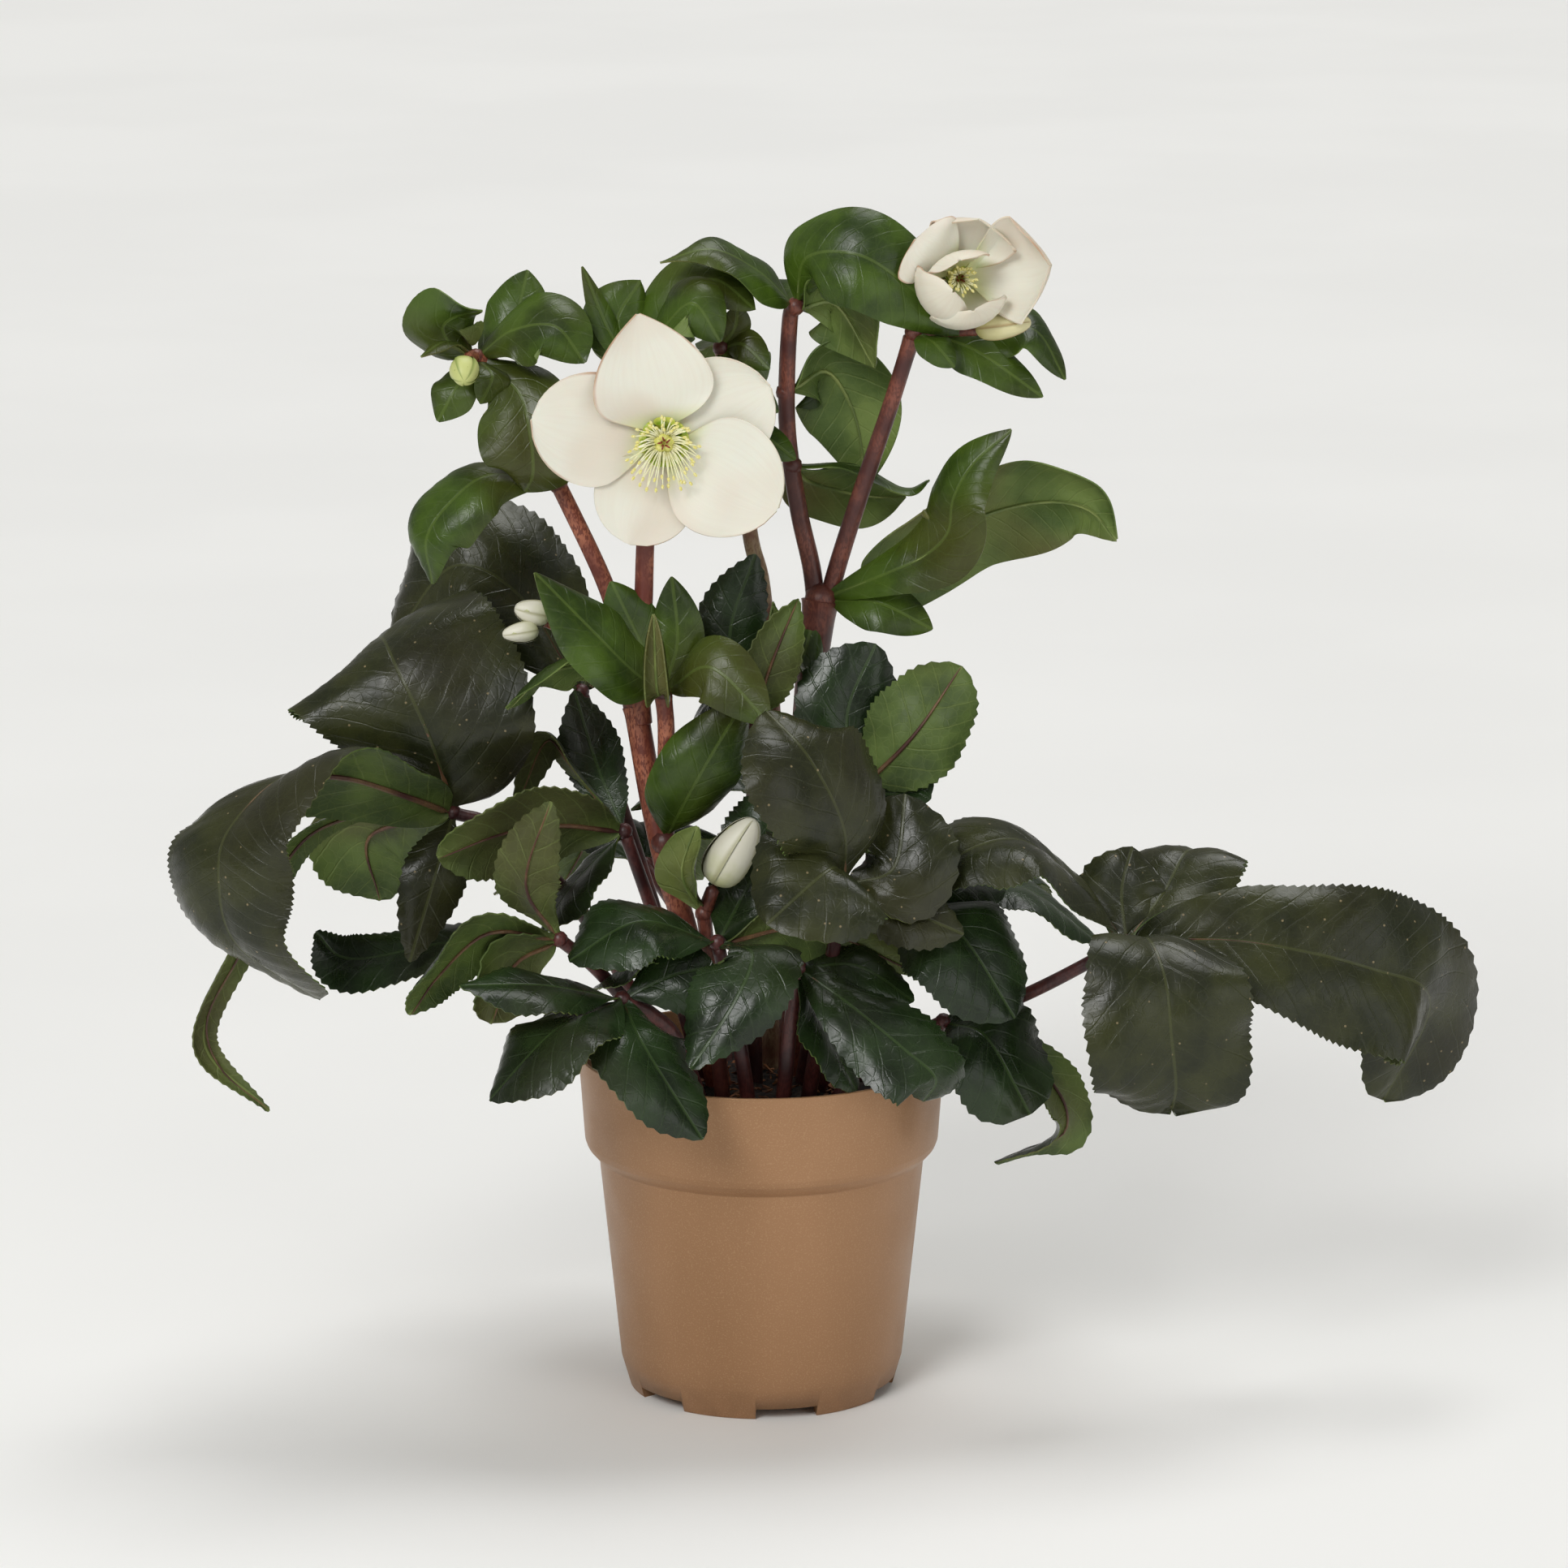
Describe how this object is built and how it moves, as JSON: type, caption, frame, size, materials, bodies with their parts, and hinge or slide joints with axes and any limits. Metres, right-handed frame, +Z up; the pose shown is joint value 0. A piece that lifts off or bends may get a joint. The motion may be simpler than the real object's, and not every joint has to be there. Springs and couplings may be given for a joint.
{
  "type": "potted hellebore",
  "caption": "Flowering hellebore in a tapered nursery pot: leathery divided leaves, leafy flower stems, open white blooms and buds above dark compost.",
  "frame": {"origin": "centre of the pot's underside, on the surface it stands on", "axes": "+Z up, -Y to the front, which the open bloom faces, +X to the viewer's right"},
  "size_m": [0.4637, 0.243, 0.4216],
  "materials": {
    "pot": "satin bronze-tinted moulded polypropylene",
    "soil": "dark moist peat compost with bark fibre",
    "stem": "fleshy maroon-brown stem, finely speckled",
    "petiole": "dark maroon leaf stalk",
    "leaf": "leathery dark green leaf, glossy above, paler below",
    "bract": "fresh green bract, soft gloss",
    "petal": "warm white petal-like sepal, soft sheen",
    "bud": "creamy closed bud",
    "stamen": "pale yellow stamens and green-yellow nectaries"
  },
  "bodies": {
    "root": {"bract_fork": "bract", "bract_left_hanging": "bract", "bract_low": "bract", "bract_middle_left": "bract", "bract_right_middle": "bract", "bract_right_upper": "bract", "bracts_back": "bract", "bracts_behind_flower": "bract", "bracts_crotch": "bract", "bracts_far_right": "bract", "bracts_left_top": "bract", "bracts_middle": "bract", "bracts_right_top": "bract", "bud_cream": "bud", "bud_low": "bud", "bud_pair": "bud", "bud_round": "bud", "heart_open": "stamen", "heart_opening": "stamen", "leaf_back": "leaf", "leaf_back_left": "leaf", "leaf_back_right": "leaf", "leaf_centre": "leaf", "leaf_front": "leaf", "leaf_front_high": "leaf", "leaf_front_left": "leaf", "leaf_front_right": "leaf", "leaf_left": "leaf", "leaf_left_back": "leaf", "leaf_left_low": "leaf", "leaf_left_mid": "leaf", "leaf_right": "leaf", "leaf_right_high": "leaf", "leaf_right_low": "leaf", "leaf_right_mid": "leaf", "petals_open": "petal", "petals_opening": "petal", "petiole_back": "petiole", "petiole_back_left": "petiole", "petiole_back_right": "petiole", "petiole_centre": "petiole", "petiole_front": "petiole", "petiole_front_high": "petiole", "petiole_front_left": "petiole", "petiole_front_right": "petiole", "petiole_left": "petiole", "petiole_left_back": "petiole", "petiole_left_low": "petiole", "petiole_left_mid": "petiole", "petiole_right": "petiole", "petiole_right_high": "petiole", "petiole_right_low": "petiole", "petiole_right_mid": "petiole", "pot": "pot", "soil": "soil", "stem_back": "stem", "stem_left": "stem", "stem_low": "stem", "stem_right": "stem"}
  },
  "joints": []
}
